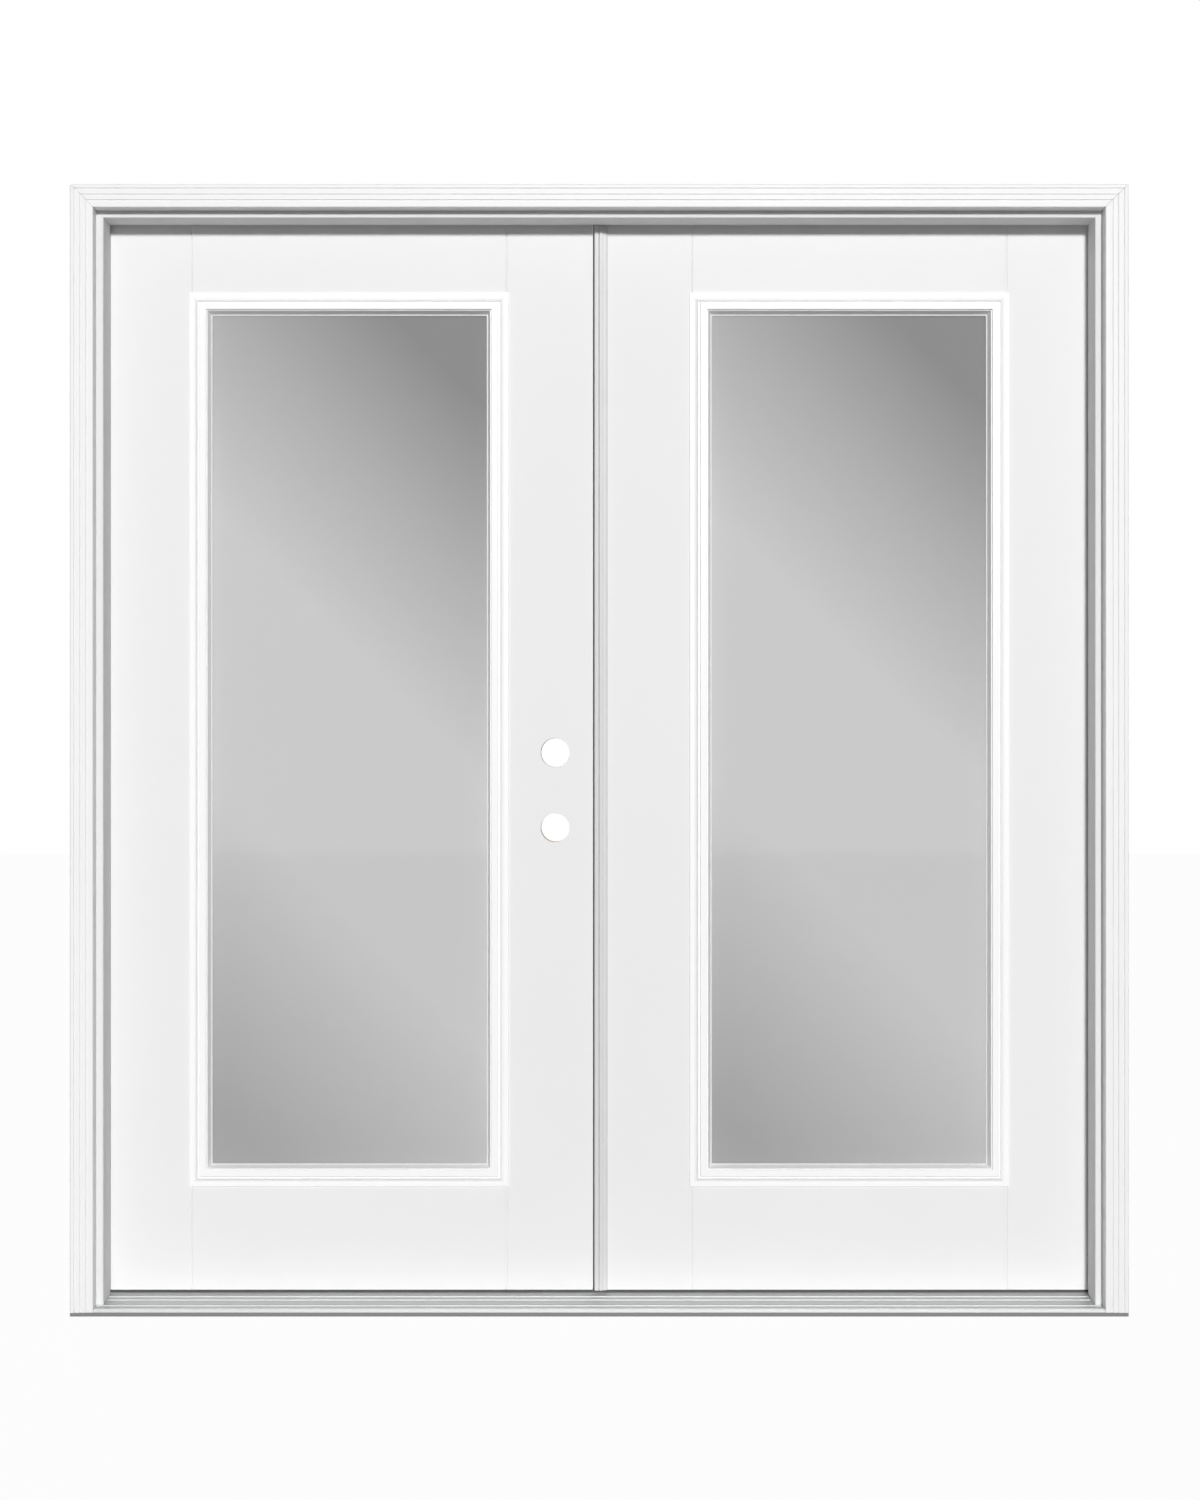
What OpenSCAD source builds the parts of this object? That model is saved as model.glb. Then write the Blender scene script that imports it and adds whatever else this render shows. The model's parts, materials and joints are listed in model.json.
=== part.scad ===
// Exterior french doors: an inward-opening pair of glazed leaves in a prehung frame.
// X runs along the width, Y from outdoors to indoors, Z up. The origin is on the underside of
// the sill, midway between the jambs, in the plane where the casing meets the wall.

/* [Leaves] */
// Width of one leaf
leaf_w = 906; // [760:1:960]
// Height of one leaf
leaf_h = 1988; // [1900:1:2100]
// Thickness of a leaf
leaf_t = 44.5; // [40:0.5:50]
// Thickness of the moulded skins
skin_t = 2.2; // [1.8:0.1:3]
// Width of the hinge and lock stiles inside a leaf
stile_w = 34; // [28:1:40]
// Height of the top rail inside a leaf
top_rail_h = 60; // [40:1:90]
// Height of the bottom rail inside a leaf
bottom_rail_h = 90; // [50:1:120]
// Width of the scored line between stile and rail
score_w = 4; // [2:0.1:5]
// Depth of the scored line
score_d = 1.5; // [0.6:0.1:1.8]

/* [Clearances] */
// Space between the edges of the two leaves
meeting_gap = 24; // [22:1:30]
// Space between a leaf and the jamb on the hinge side
hinge_gap = 2.5; // [2:0.1:4]
// Space between a leaf and the head
head_gap = 2.5; // [2:0.1:5]
// Space between the threshold cap and the bottom of a leaf
bottom_gap = 5; // [4:0.5:8]
// Space left between pieces that slide or slip into each other
fit_gap = 0.3; // [0.2:0.05:0.5]

/* [Frame] */
// Depth of the jambs through the wall
jamb_depth = 116; // [110:1:140]
// Thickness of the jambs behind the stop
jamb_back_t = 19.5; // [18:0.5:26]
// How far the stop stands out from the rabbet
stop_d = 12.5; // [11:0.5:15]
// How far the inner face of a leaf sits back from the jamb's edge
setback = 1; // [0:0.5:3]
// Thickness of the compressed weatherstrip
seal_t = 4.5; // [3:0.5:7]
// Width of the saw kerf that holds the weatherstrip
kerf_w = 3; // [2.5:0.1:4]
// Depth of the saw kerf
kerf_d = 10; // [8:1:14]

/* [Casing] */
// Width of the brickmould casing
casing_w = 42; // [38:1:60]
// Thickness of the casing at its outer edge
casing_t = 32; // [28:1:40]
// Strip of jamb left showing inside the casing
reveal = 13; // [8:1:16]

/* [Sill] */
// Thickness of the composite base under the jambs and casing
base_t = 7; // [5:0.5:12]
// How far the sill reaches out in front of the jambs
nosing_d = 30; // [20:1:50]
// Height of the aluminium deck at its front edge
deck_front_z = 12; // [11:0.5:18]
// Height of the top of the threshold cap
cap_top_z = 22; // [20:0.5:40]
// Thickness of the aluminium deck
deck_t = 3; // [2:0.1:4]
// Width of the grooves along the deck
groove_w = 4; // [2:0.5:6]
// Depth of the grooves along the deck
groove_d = 1.5; // [0.8:0.1:2]
// Distance between the two grooves of a pair
groove_pair = 19; // [12:1:24]
// Thickness of the threshold cap
cap_t = 11; // [8:0.5:12]

/* [Glazing] */
// Width of the glass that shows
sight_w = 516; // [400:1:560]
// Height of the glass that shows
sight_h = 1584; // [1400:1:1640]
// Height of the bottom of the visible glass above the sill's underside
sight_z = 258; // [240:1:300]
// Width of the moulded lite frame around the glass
lite_w = 39; // [36:1:44]
// How far the lite frame stands out from the leaf
lite_proud = 10; // [9:0.5:16]
// Thickness of one pane
pane_t = 3.2; // [3:0.1:6]
// Space between the panes
pane_gap = 19; // [8:0.5:20]
// How far the lite frame covers the edge of the glass
glass_bite = 12; // [8:1:14]
// Slack around the glass unit in the leaf's cut-out
glass_slack = 4; // [3:0.5:6]

/* [Lock bores] */
// Diameter of the cross bores for a lock
bore_d = 54; // [50:0.5:56]
// Distance from the leaf's edge to the middle of the cross bores
backset = 69.85; // [60:0.05:80]
// Height of the lower cross bore above the sill's underside
bore_z = 886; // [850:1:1000]
// Distance between the two cross bores
bore_spacing = 139.7; // [130:0.1:160]
// Diameter of the latch bores in the leaf's edge
latch_d = 25.4; // [22:0.1:27]

/* [Hinges] */
// Length of a hinge
hinge_h = 101.6; // [88:0.1:115]
// Thickness of a hinge leaf
hinge_t = 2.8; // [2.2:0.1:3.2]
// Diameter of the hinge barrel
barrel_d = 12.6; // [11:0.1:14]
// Diameter of the hinge pin
hinge_pin_d = 6.4; // [5:0.1:8]
// Distance from the top of a leaf to the middle of its top hinge
hinge_top = 230; // [150:1:300]
// Distance from the bottom of a leaf to the middle of its bottom hinge
hinge_bottom = 330; // [200:1:400]

/* [Astragal] */
// How far the astragal's strip laps over the face of the passive leaf
astragal_lap = 4; // [3:0.5:8]
// Thickness of that strip
astragal_t = 8; // [6:0.5:10]
// Space between the astragal and the edge of the active leaf
astragal_gap = 3; // [2.5:0.1:4]
// Diameter of the flush bolts
bolt_d = 10; // [8:0.5:12]
// Length of the flush bolts
bolt_l = 220; // [150:1:300]
// Travel of the flush bolts
bolt_throw = 16; // [12:0.5:18]

/* [Hidden] */

LEFT = -1;
RIGHT = 1;
$fn = 48;
// A cut runs this far past the face that it opens.
over = 1;

// Heights
leaf_z0 = cap_top_z + bottom_gap;
leaf_z1 = leaf_z0 + leaf_h;
rabbet_z = leaf_z1 + head_gap;
stop_z = rabbet_z - stop_d;
head_z = rabbet_z + jamb_back_t;
casing_inner_z = stop_z + reveal;
casing_outer_z = casing_inner_z + casing_w;

// Distances from the middle of the doorway
leaf_x0 = meeting_gap / 2;
leaf_x1 = leaf_x0 + leaf_w;
rabbet_x = leaf_x1 + hinge_gap;
stop_x = rabbet_x - stop_d;
jamb_x = rabbet_x + jamb_back_t;
casing_inner_x = stop_x + reveal;
casing_outer_x = casing_inner_x + casing_w;
leaf_mid_x = leaf_x0 + leaf_w / 2;

// Depths, from outdoors to indoors
leaf_y1 = jamb_depth - setback;
leaf_y0 = leaf_y1 - leaf_t;
leaf_mid_y = (leaf_y0 + leaf_y1) / 2;
rabbet_y = leaf_y0 - seal_t;
core_y0 = leaf_y0 + skin_t;
core_y1 = leaf_y1 - skin_t;
glass_t = 2 * pane_t + pane_gap;
glass_y0 = leaf_mid_y - glass_t / 2;
glass_y1 = glass_y0 + glass_t;

// Glazing
lite_outer_w = sight_w + 2 * lite_w;
lite_outer_h = sight_h + 2 * lite_w;
lite_mid_z = sight_z + sight_h / 2;
glass_w = sight_w + 2 * glass_bite;
glass_h = sight_h + 2 * glass_bite;
cut_w = glass_w + 2 * glass_slack;
cut_h = glass_h + 2 * glass_slack;
score_inset = 4.5;
score_x = lite_outer_w / 2 - score_inset;

// Lock block: the wood that the cross bores go through
block_over = 60;
block_w = backset + bore_d / 2 + 14 - stile_w;
block_z0 = bore_z - block_over - bore_d / 2;
block_z1 = bore_z + bore_spacing + block_over + bore_d / 2;
bore_x = leaf_x0 + backset;
BORE_HEIGHTS = [bore_z, bore_z + bore_spacing];

// Hinges
pin_x = (leaf_x1 + rabbet_x) / 2;
pin_y = jamb_depth + barrel_d / 2 + 0.2;
plate_y0 = leaf_y1 - 31;
plate_y1 = pin_y - barrel_d / 2 - 0.4;
pin_clear = 0.05;
knuckles = 5;
knuckle_gap = 0.4;
knuckle_h = hinge_h / knuckles;
HINGE_HEIGHTS = [
    leaf_z0 + hinge_bottom,
    (leaf_z0 + hinge_bottom + leaf_z1 - hinge_top) / 2,
    leaf_z1 - hinge_top,
];
screw_d = 4.4;
screw_head_d = 8;
screw_l = 14;
screw_slack = 0.1;
screw_rows = [-36 / 101.6 * hinge_h, -13 / 101.6 * hinge_h, 13 / 101.6 * hinge_h, 36 / 101.6 * hinge_h];

// Astragal and its flush bolts
web_x0 = -leaf_x0 + astragal_gap;
web_x1 = leaf_x0;
web_y1 = leaf_y1 - 4;
flange_y0 = leaf_y0 - astragal_t;
bolt_x = (web_x0 + web_x1) / 2;
bolt_y = (leaf_y0 + web_y1) / 2;
bolt_bore_d = bolt_d + 2 * fit_gap;
bolt_inset = 1;
thumb_w = 5;
thumb_h = 26;
thumb_from_end = bolt_l - 50;
strike_t = 2;
strike_w = 22;
strike_l = 60;

// Deck: the slope from the nosing up to the cap
deck_y0 = -nosing_d;
deck_y1 = rabbet_y - fit_gap;
deck_back_z = cap_top_z - 1;
deck_slope = (deck_back_z - deck_front_z) / (deck_y1 - deck_y0);
cap_screw_d = 9.4;
cap_screw_h = 5;
CAP_SCREW_X = [for (i = [-5:2:5]) i / 6 * leaf_w];

function deck_z(y) = deck_front_z + (y - deck_y0) * deck_slope;

// Points on an arc, from angle a0 to a1
function arc(cx, cy, r, a0, a1, n = 6) =
    [for (i = [0:n]) let (a = a0 + (a1 - a0) * i / n) [cx + r * cos(a), cy + r * sin(a)]];

// The children as drawn on the right, or mirrored to the left
module on_side(side) {
    if (side == RIGHT) children();
    else mirror([1, 0, 0]) children();
}

// A section in Y and Z, pulled along X from x0 to x1
module along_x(x0, x1) {
    translate([x0, 0, 0]) rotate([90, 0, 90]) linear_extrude(x1 - x0) children();
}

// A section in X and Y, pulled along Z from z0 to z1
module along_z(z0, z1) {
    translate([0, 0, z0]) linear_extrude(z1 - z0) children();
}

// A section in X and Z, pulled along Y from y0 to y1
module along_y(y0, y1) {
    translate([0, y1, 0]) rotate([90, 0, 0]) linear_extrude(y1 - y0) children();
}

module box(low, high) {
    translate(low) cube(high - low);
}

// A round bar along X, Y or Z
module rod_x(x0, x1, d, y, z) {
    translate([x0, y, z]) rotate([0, 90, 0]) cylinder(d = d, h = x1 - x0);
}

module rod_y(y0, y1, d, x, z) {
    translate([x, y1, z]) rotate([90, 0, 0]) cylinder(d = d, h = y1 - y0);
}

module rod_z(z0, z1, d, x, y) {
    translate([x, y, z0]) cylinder(d = d, h = z1 - z0);
}

// Frame

ease = 1.5;

// Half of the jamb's section: the stop, the rabbet behind it, and the kerf for the weatherstrip.
// The first coordinate grows from the opening towards the wall.
module jamb_section() {
    difference() {
        polygon([
            [ease, 0], [stop_d + jamb_back_t, 0], [stop_d + jamb_back_t, jamb_depth],
            [stop_d, jamb_depth], [stop_d, rabbet_y], [ease, rabbet_y], [0, rabbet_y - ease],
            [0, ease],
        ]);
        translate([stop_d / 2 - kerf_w / 2, rabbet_y - kerf_d])
            square([kerf_w, kerf_d + over]);
    }
}

// The space on the leg's side of the mitre through the frame's upper corner
module leg_side_of_mitre(inner_x, inner_z, width, y0, y1) {
    along_y(y0, y1) polygon([
        [inner_x, 0], [inner_x + width, 0], [inner_x + width, inner_z + width],
        [inner_x, inner_z],
    ]);
}

// The space on the head's side of both mitres
module head_side_of_mitre(inner_x, inner_z, width, y0, y1) {
    along_y(y0, y1) polygon([
        [-inner_x, inner_z], [inner_x, inner_z], [inner_x + width, inner_z + width],
        [-inner_x - width, inner_z + width],
    ]);
}

module jamb_leg(side) {
    jamb_w = stop_d + jamb_back_t;
    color("white") on_side(side) difference() {
        intersection() {
            translate([stop_x, 0, 0]) along_z(base_t, head_z) jamb_section();
            leg_side_of_mitre(stop_x, stop_z, jamb_w, 0, jamb_depth);
        }
        frame_leaf_mortises();
        frame_screws(screw_slack);
    }
}

module jamb_head() {
    jamb_w = stop_d + jamb_back_t;
    color("white") difference() {
        intersection() {
            along_x(-jamb_x, jamb_x) translate([0, stop_z]) mirror([1, -1]) jamb_section();
            head_side_of_mitre(stop_x, stop_z, jamb_w, 0, jamb_depth);
        }
        box([bolt_x - strike_l / 2 - fit_gap, bolt_y - strike_w / 2 - fit_gap, rabbet_z - over],
            [bolt_x + strike_l / 2 + fit_gap, bolt_y + strike_w / 2 + fit_gap, rabbet_z + strike_t]);
        rod_z(rabbet_z, leaf_z1 + bolt_throw + 1.5, bolt_d + 3, bolt_x, bolt_y);
    }
}

casing_grooves = [8.2, 19, 29];
casing_groove_d = 2.4;
casing_groove_w = 2.6;
casing_step = 0.8;

// The brickmould's section: flat bands that step down inwards, with a fine groove at each step.
// The first coordinate grows from its inner edge outwards, the second from the wall to the street.
module casing_section() {
    w = casing_w;
    t = casing_t;
    inner_t = t - len(casing_grooves) * casing_step;
    nose = 2.5;
    polygon(concat(
        [[0, 0], [w, 0]],
        arc(w - nose, t - nose, nose, 0, 90, 4),
        [for (i = [0:len(casing_grooves) - 1], k = [1, 0, -1])
            let (v = t - i * casing_step)
            [w - casing_grooves[i] + k * casing_groove_w / 2,
             k == 1 ? v : k == 0 ? v - casing_groove_d : v - casing_step]],
        arc(nose, inner_t - nose, nose, 90, 180, 4)
    ));
}

module brickmould_leg(side) {
    color("white") on_side(side) intersection() {
        translate([casing_inner_x, 0, 0]) along_z(base_t, casing_outer_z)
            mirror([0, 1]) casing_section();
        leg_side_of_mitre(casing_inner_x, casing_inner_z, casing_w, -casing_t, 0);
    }
}

module brickmould_head() {
    color("white") intersection() {
        along_x(-casing_outer_x, casing_outer_x) translate([0, casing_inner_z])
            mirror([1, -1]) mirror([0, 1]) casing_section();
        head_side_of_mitre(casing_inner_x, casing_inner_z, casing_w, -casing_t, 0);
    }
}

// Weatherstrip: a pressed bulb on the stop's shoulder with a barb in the kerf
module weatherstrip_section() {
    bulb_w = stop_d - 3;
    barb_w = kerf_w - 2 * fit_gap;
    r = (seal_t - fit_gap) / 2;
    translate([stop_d / 2, rabbet_y]) {
        translate([-bulb_w / 2, 0]) square([bulb_w, r]);
        translate([-bulb_w / 2 + r, r]) circle(r = r, $fn = 24);
        translate([bulb_w / 2 - r, r]) circle(r = r, $fn = 24);
        translate([-bulb_w / 2 + r, 0]) square([bulb_w - 2 * r, 2 * r]);
        translate([-barb_w / 2, -kerf_d + fit_gap]) square([barb_w, kerf_d]);
    }
}

pad_h = 55;
pad_z1 = cap_top_z + pad_h;

module weatherstrip_leg(side) {
    color("gainsboro") on_side(side) translate([stop_x, 0, 0])
        along_z(pad_z1 + fit_gap, stop_z - fit_gap) weatherstrip_section();
}

module weatherstrip_head() {
    color("gainsboro") along_x(-stop_x, stop_x) translate([0, stop_z])
        mirror([1, -1]) weatherstrip_section();
}

// Foam pads that close the lower corners of the rabbet
module corner_pads() {
    color("dimgray") for (side = [LEFT, RIGHT]) on_side(side)
        box([stop_x + ease, rabbet_y, cap_top_z], [rabbet_x - 1, leaf_y0 - fit_gap, pad_z1]);
}

// Sill

module sill_base() {
    inner_x = stop_x - fit_gap;
    color("dimgray") difference() {
        union() {
            box([-jamb_x, 0, 0], [jamb_x, jamb_depth, base_t]);
            box([-casing_outer_x, -nosing_d, 0], [casing_outer_x, 0, base_t]);
            along_x(-inner_x, inner_x) polygon([
                [deck_y0 + deck_t, 0], [deck_y1 - deck_t, 0],
                [deck_y1 - deck_t, deck_z(deck_y1 - deck_t) - deck_t],
                [deck_y0 + deck_t, deck_z(deck_y0 + deck_t) - deck_t],
            ]);
            box([-inner_x, rabbet_y, 0], [inner_x, jamb_depth, cap_top_z - cap_t]);
        }
        rod_z(leaf_z0 - bolt_throw - 1.5, cap_top_z, bolt_d + 3, bolt_x, bolt_y);
        cap_screw_shanks(screw_slack);
    }
}

// The grooved aluminium deck: a sloping plate with a lip down its front, notched round the jambs
module sill_deck() {
    run = deck_y1 - deck_y0;
    color("silver") difference() {
        along_x(-casing_inner_x + fit_gap, casing_inner_x - fit_gap) difference() {
            polygon([
                [deck_y0, base_t], [deck_y0, deck_front_z - 1], [deck_y0 + 1, deck_z(deck_y0 + 1)],
                [deck_y1, deck_back_z], [deck_y1, base_t], [deck_y1 - deck_t, base_t],
                [deck_y1 - deck_t, deck_z(deck_y1 - deck_t) - deck_t],
                [deck_y0 + deck_t, deck_z(deck_y0 + deck_t) - deck_t], [deck_y0 + deck_t, base_t],
            ]);
            for (pair = [0.15, 0.7], k = [-1, 1]) {
                y = deck_y0 + pair * run + k * groove_pair / 2;
                translate([y - groove_w / 2, deck_z(y - groove_w / 2) - groove_d])
                    square([groove_w, 2 * groove_d]);
            }
        }
        for (side = [LEFT, RIGHT]) on_side(side)
            box([stop_x - fit_gap, -fit_gap, 0], [casing_inner_x + over, deck_y1 + over, cap_top_z + over]);
    }
}

// The cap that the leaves close over, with rounded edges
module threshold_cap() {
    r = 3;
    cap_x = rabbet_x - fit_gap;
    y0 = rabbet_y + fit_gap;
    z0 = cap_top_z - cap_t;
    color("lightgray") difference() {
        along_x(-cap_x, cap_x) union() {
            polygon(concat(
                [[y0, z0], [jamb_depth - 2, z0]],
                arc(jamb_depth - 2 - r, cap_top_z - r, r, 0, 90, 5),
                arc(y0 + r, cap_top_z - r, r, 90, 180, 5)
            ));
        }
        for (x = CAP_SCREW_X)
            rod_z(cap_top_z - cap_screw_h, cap_top_z + over, cap_screw_d + 2 * screw_slack, x, bolt_y);
        rod_z(z0 - over, cap_top_z + over, bolt_d + 3, bolt_x, bolt_y);
        cap_screw_shanks(screw_slack);
    }
}

cap_screw_z0 = 3;

module cap_screw_shanks(slack) {
    for (x = CAP_SCREW_X)
        rod_z(cap_screw_z0 - slack, cap_top_z - cap_screw_h + over, screw_d + 2 * slack, x, bolt_y);
}

// Slotted screws that hold the cap down on the base
module cap_screws() {
    color("silver") cap_screw_shanks(0);
    color("silver") for (x = CAP_SCREW_X) difference() {
        rod_z(cap_top_z - cap_screw_h, cap_top_z - 0.4, cap_screw_d, x, bolt_y);
        box([x - cap_screw_d, bolt_y - 0.6, cap_top_z - 2], [x + cap_screw_d, bolt_y + 0.6, cap_top_z]);
    }
}

// The plate in the head that the upper flush bolt shoots into
module head_strike() {
    color("silver") difference() {
        box([bolt_x - strike_l / 2, bolt_y - strike_w / 2, rabbet_z],
            [bolt_x + strike_l / 2, bolt_y + strike_w / 2, rabbet_z + strike_t]);
        rod_z(rabbet_z - over, rabbet_z + strike_t + over, bolt_d + 3, bolt_x, bolt_y);
    }
}

// Hinges

// One hinge plate with its share of the knuckles, at height zero. The frame's plate has the odd
// knuckles and lies on the wall's side of the pin; the leaf's has the even ones.
module hinge_plate(plate_x0, first) {
    difference() {
        union() {
            box([plate_x0, plate_y0, -hinge_h / 2], [plate_x0 + hinge_t, plate_y1, hinge_h / 2]);
            for (k = [first:2:knuckles - 1]) {
                z0 = -hinge_h / 2 + k * knuckle_h + (k > 0 ? knuckle_gap / 2 : 0);
                z1 = -hinge_h / 2 + (k + 1) * knuckle_h - (k < knuckles - 1 ? knuckle_gap / 2 : 0);
                box([plate_x0, plate_y1 - over, z0], [plate_x0 + hinge_t, pin_y, z1]);
                rod_z(z0, z1, barrel_d, pin_x, pin_y);
            }
        }
        rod_z(-hinge_h, hinge_h, hinge_pin_d + 2 * pin_clear, pin_x, pin_y);
    }
}

// Countersunk screws through a hinge plate, into the wood behind it. face_x is the plate's open
// face, and into is the direction of the wood along X.
module plate_screws(face_x, into, slack) {
    y = (plate_y0 + plate_y1) / 2;
    head_l = 2.2;
    for (i = [0:len(screw_rows) - 1]) {
        stagger = (i % 2 == 0 ? -1 : 1) * 7;
        translate([face_x, y + stagger, screw_rows[i]]) rotate([0, into * 90, 0]) {
            cylinder(d1 = screw_head_d + 2 * slack, d2 = screw_d + 2 * slack, h = head_l);
            cylinder(d = screw_d + 2 * slack, h = screw_l + slack);
        }
    }
}

module at_hinges() {
    for (z = HINGE_HEIGHTS) translate([0, 0, z]) children();
}

module frame_leaf_mortises() {
    at_hinges() box([rabbet_x - over, plate_y0 - fit_gap, -hinge_h / 2 - fit_gap],
        [rabbet_x + hinge_t, jamb_depth + over, hinge_h / 2 + fit_gap]);
}

module leaf_mortises() {
    at_hinges() box([leaf_x1 - hinge_t, plate_y0 - fit_gap, -hinge_h / 2 - fit_gap],
        [leaf_x1 + over, leaf_y1 + over, hinge_h / 2 + fit_gap]);
}

module frame_screws(slack) {
    at_hinges() plate_screws(rabbet_x, RIGHT, slack);
}

module leaf_screws(slack) {
    at_hinges() plate_screws(leaf_x1, LEFT, slack);
}

module frame_hinge_leaves(side) {
    color("gray") on_side(side) difference() {
        at_hinges() hinge_plate(rabbet_x, 0);
        frame_screws(screw_slack);
    }
}

module hinge_leaves(side) {
    color("gray") on_side(side) difference() {
        at_hinges() hinge_plate(leaf_x1 - hinge_t, 1);
        leaf_screws(screw_slack);
    }
}

module hinge_pins(side) {
    head_h = 3;
    color("gray") on_side(side) at_hinges() {
        rod_z(-hinge_h / 2, hinge_h / 2, hinge_pin_d, pin_x, pin_y);
        rod_z(hinge_h / 2, hinge_h / 2 + head_h, barrel_d - 1, pin_x, pin_y);
    }
}

module frame_hinge_screws() {
    color("silver") for (side = [LEFT, RIGHT]) on_side(side) frame_screws(0);
}

module hinge_screws(side) {
    color("silver") on_side(side) leaf_screws(0);
}

// Leaves

module lite_cut(y0, y1) {
    box([leaf_mid_x - cut_w / 2, y0, lite_mid_z - cut_h / 2],
        [leaf_mid_x + cut_w / 2, y1, lite_mid_z + cut_h / 2]);
}

module cross_bores(y0, y1) {
    for (z = BORE_HEIGHTS) rod_y(y0, y1, bore_d, bore_x, z);
}

module latch_bores() {
    for (z = BORE_HEIGHTS) rod_x(leaf_x0 - over, bore_x, latch_d, leaf_mid_y, z);
}

// Scored lines that mark off the rails from the stiles, above and below the glass
module score_lines(face_y) {
    for (sx = [-1, 1], z = [[leaf_z0 - over, lite_mid_z - lite_outer_h / 2 + 8],
                            [lite_mid_z + lite_outer_h / 2 - 8, leaf_z1 + over]])
        translate([leaf_mid_x + sx * score_x, face_y, 0]) along_z(z[0], z[1])
            polygon([[-score_w / 2, 0], [0, -score_d], [score_w / 2, 0], [0, score_d]]);
}

// A moulded skin. face_y is the side that shows.
module skin(side, y0, y1, face_y) {
    color("whitesmoke") on_side(side) difference() {
        box([leaf_x0, y0, leaf_z0], [leaf_x1, y1, leaf_z1]);
        lite_cut(y0 - over, y1 + over);
        score_lines(face_y);
        leaf_mortises();
        if (side == LEFT) cross_bores(y0 - over, y1 + over);
    }
}

module hinge_stile(side) {
    color("tan") on_side(side) difference() {
        box([leaf_x1 - stile_w, core_y0, leaf_z0], [leaf_x1, core_y1, leaf_z1]);
        leaf_mortises();
        leaf_screws(screw_slack);
    }
}

module lock_stile(side) {
    color("tan") on_side(side) difference() {
        box([leaf_x0, core_y0, leaf_z0], [leaf_x0 + stile_w, core_y1, leaf_z1]);
        if (side == LEFT) latch_bores();
    }
}

module lock_block(side) {
    color("tan") on_side(side) difference() {
        box([leaf_x0 + stile_w, core_y0, block_z0], [leaf_x0 + stile_w + block_w, core_y1, block_z1]);
        cross_bores(core_y0 - over, core_y1 + over);
        latch_bores();
    }
}

module rail(side, z0, z1) {
    color("tan") on_side(side)
        box([leaf_x0 + stile_w, core_y0, z0], [leaf_x1 - stile_w, core_y1, z1]);
}

module top_rail(side) {
    rail(side, leaf_z1 - top_rail_h, leaf_z1);
}

module bottom_rail(side) {
    rail(side, leaf_z0, leaf_z0 + bottom_rail_h);
}

// The foam that fills the leaf between its rails and stiles
module core(side) {
    color("khaki") on_side(side) difference() {
        box([leaf_x0 + stile_w, core_y0, leaf_z0 + bottom_rail_h],
            [leaf_x1 - stile_w, core_y1, leaf_z1 - top_rail_h]);
        lite_cut(core_y0 - over, core_y1 + over);
        if (side == LEFT)
            box([leaf_x0 + stile_w - over, core_y0 - over, block_z0],
                [leaf_x0 + stile_w + block_w, core_y1 + over, block_z1]);
    }
}

lip_h = 3.4;
cove_r = 10;
bead_w = 13;
bead_r = 1.5;
bevel_w = 6.5;
bevel_drop = 3;
inner_quirk_w = 1.8;
quirk_w = 3;
quirk_d = 5;

// Section of a lite frame: a lip and a cove, a quirk, a flat bead, a quirk, and a bevel to the glass.
// The first coordinate grows from its outer edge towards the glass, and the second from the leaf's
// skin outwards; the leg below zero lies on the glass.
module lite_section() {
    p = lite_proud;
    seat = glass_y0 - leaf_y0;
    leg = lite_w - glass_bite - glass_slack + fit_gap;
    bead_in = lite_w - bevel_w;
    bead_out = bead_in - bead_w;
    polygon(concat(
        [[leg, -seat], [lite_w, -seat], [lite_w, -seat + 2], [bead_in + inner_quirk_w, p - bevel_drop],
         [bead_in + inner_quirk_w, p - quirk_d], [bead_in, p - quirk_d]],
        arc(bead_in - bead_r, p - bead_r, bead_r, 0, 90, 4),
        arc(bead_out + bead_r, p - bead_r, bead_r, 90, 180, 4),
        [[bead_out, p - quirk_d], [bead_out - quirk_w, p - quirk_d], [bead_out - quirk_w, p - 1.2]],
        arc(lip_h + 3.3, lip_h + cove_r, cove_r, -28, -90, 6),
        arc(1.2, lip_h - 1.2, 1.2, 90, 180, 3),
        [[0, 0], [leg, 0]]
    ));
}

// The lower side of a lite frame and its left side, cut to the mitres, about the frame's middle
module lite_low_side() {
    w = lite_outer_w / 2;
    h = lite_outer_h / 2;
    intersection() {
        along_x(-w, w) translate([0, -h]) mirror([1, -1]) mirror([0, 1]) lite_section();
        along_y(-lite_proud - over, leaf_t / 2) polygon([
            [-w, -h], [w, -h], [w - lite_w, -h + lite_w], [-w + lite_w, -h + lite_w],
        ]);
    }
}

module lite_left_side() {
    w = lite_outer_w / 2;
    h = lite_outer_h / 2;
    intersection() {
        along_z(-h, h) translate([-w, 0]) mirror([0, 1]) lite_section();
        along_y(-lite_proud - over, leaf_t / 2) polygon([
            [-w, -h], [-w + lite_w, -h + lite_w], [-w + lite_w, h - lite_w], [-w, h],
        ]);
    }
}

// The four sides of a lite frame, moulded as one
module lite_ring() {
    lite_low_side();
    mirror([0, 0, 1]) lite_low_side();
    lite_left_side();
    mirror([1, 0, 0]) lite_left_side();
}

module lite_frame_exterior(side) {
    color("white") on_side(side) translate([leaf_mid_x, leaf_y0, lite_mid_z]) lite_ring();
}

plug_d = 8;
plug_h = 3;
plug_u = lite_w - 13;
// Places of the screw plugs round a lite frame, as offsets from its middle
PLUG_PLACES = concat(
    [for (sx = [-1, 1], i = [-2:2]) [sx * (lite_outer_w / 2 - plug_u), i * lite_outer_h / 5]],
    [for (sz = [-1, 1], i = [-1, 1]) [i * lite_outer_w / 6, sz * (lite_outer_h / 2 - plug_u)]]
);

module lite_plug_rods(d, y0, y1) {
    for (p = PLUG_PLACES) rod_y(y0, y1, d, leaf_mid_x + p[0], lite_mid_z + p[1]);
}

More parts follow.
